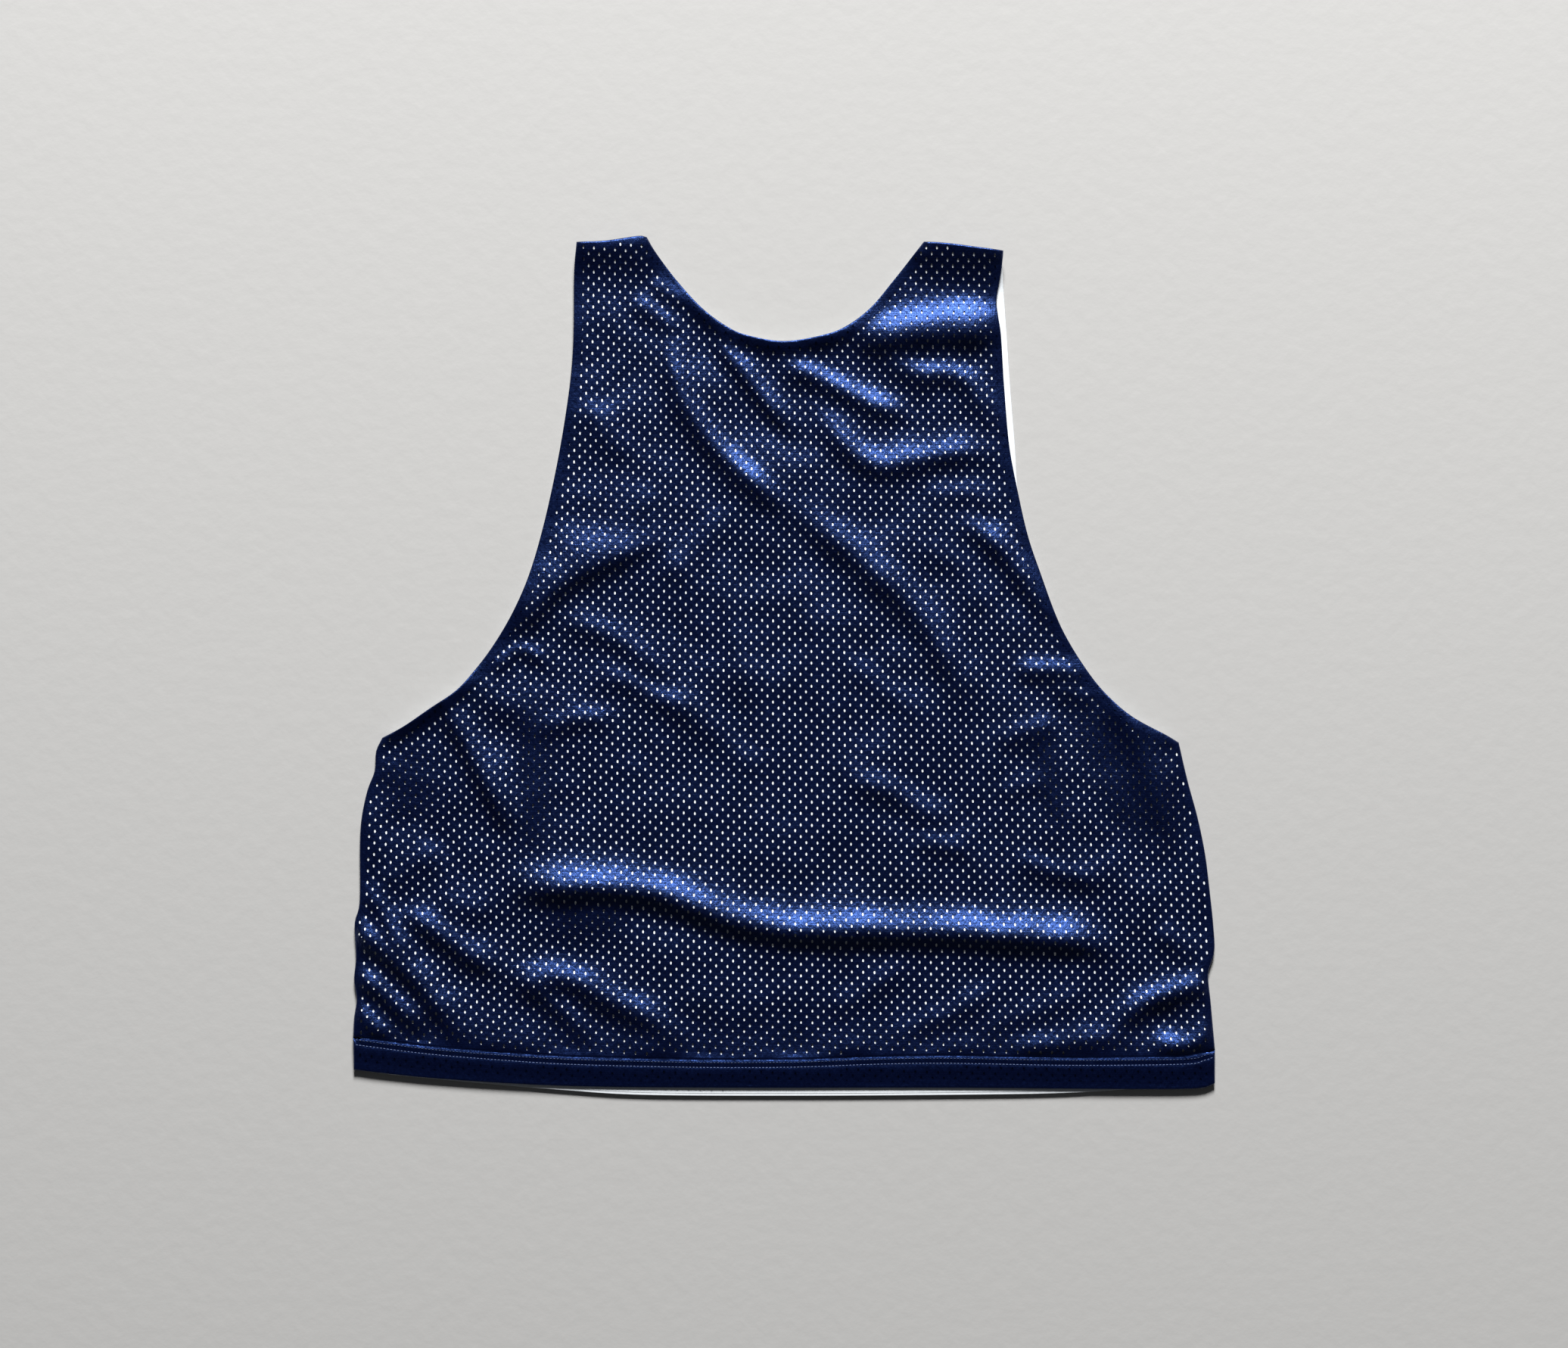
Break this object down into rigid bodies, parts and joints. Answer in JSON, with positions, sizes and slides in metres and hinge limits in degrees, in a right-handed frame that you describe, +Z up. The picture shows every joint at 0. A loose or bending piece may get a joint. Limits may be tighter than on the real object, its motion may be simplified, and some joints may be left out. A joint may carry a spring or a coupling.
{
  "type": "practice jersey",
  "caption": "Reversible sleeveless practice jersey of perforated mesh, navy outside and white inside, lying flat with its back up.",
  "frame": {"origin": "on the surface the jersey lies on, under the middle of its bounding box", "axes": "+Z up from the surface, through the layers; +Y from the hem towards the neck; +X to the right as seen from above with the neck at the top"},
  "size_m": [0.62, 0.6178, 0.0144],
  "materials": {
    "navy_mesh": "satin",
    "white_mesh": "matt"
  },
  "bodies": {
    "root": {"back_panel_navy": "navy_mesh", "back_hem_navy": "navy_mesh", "back_panel_white": "white_mesh", "back_hem_white": "white_mesh", "front_panel_white": "white_mesh", "front_hem_white": "white_mesh", "front_panel_navy": "navy_mesh", "front_hem_navy": "navy_mesh"}
  },
  "joints": []
}
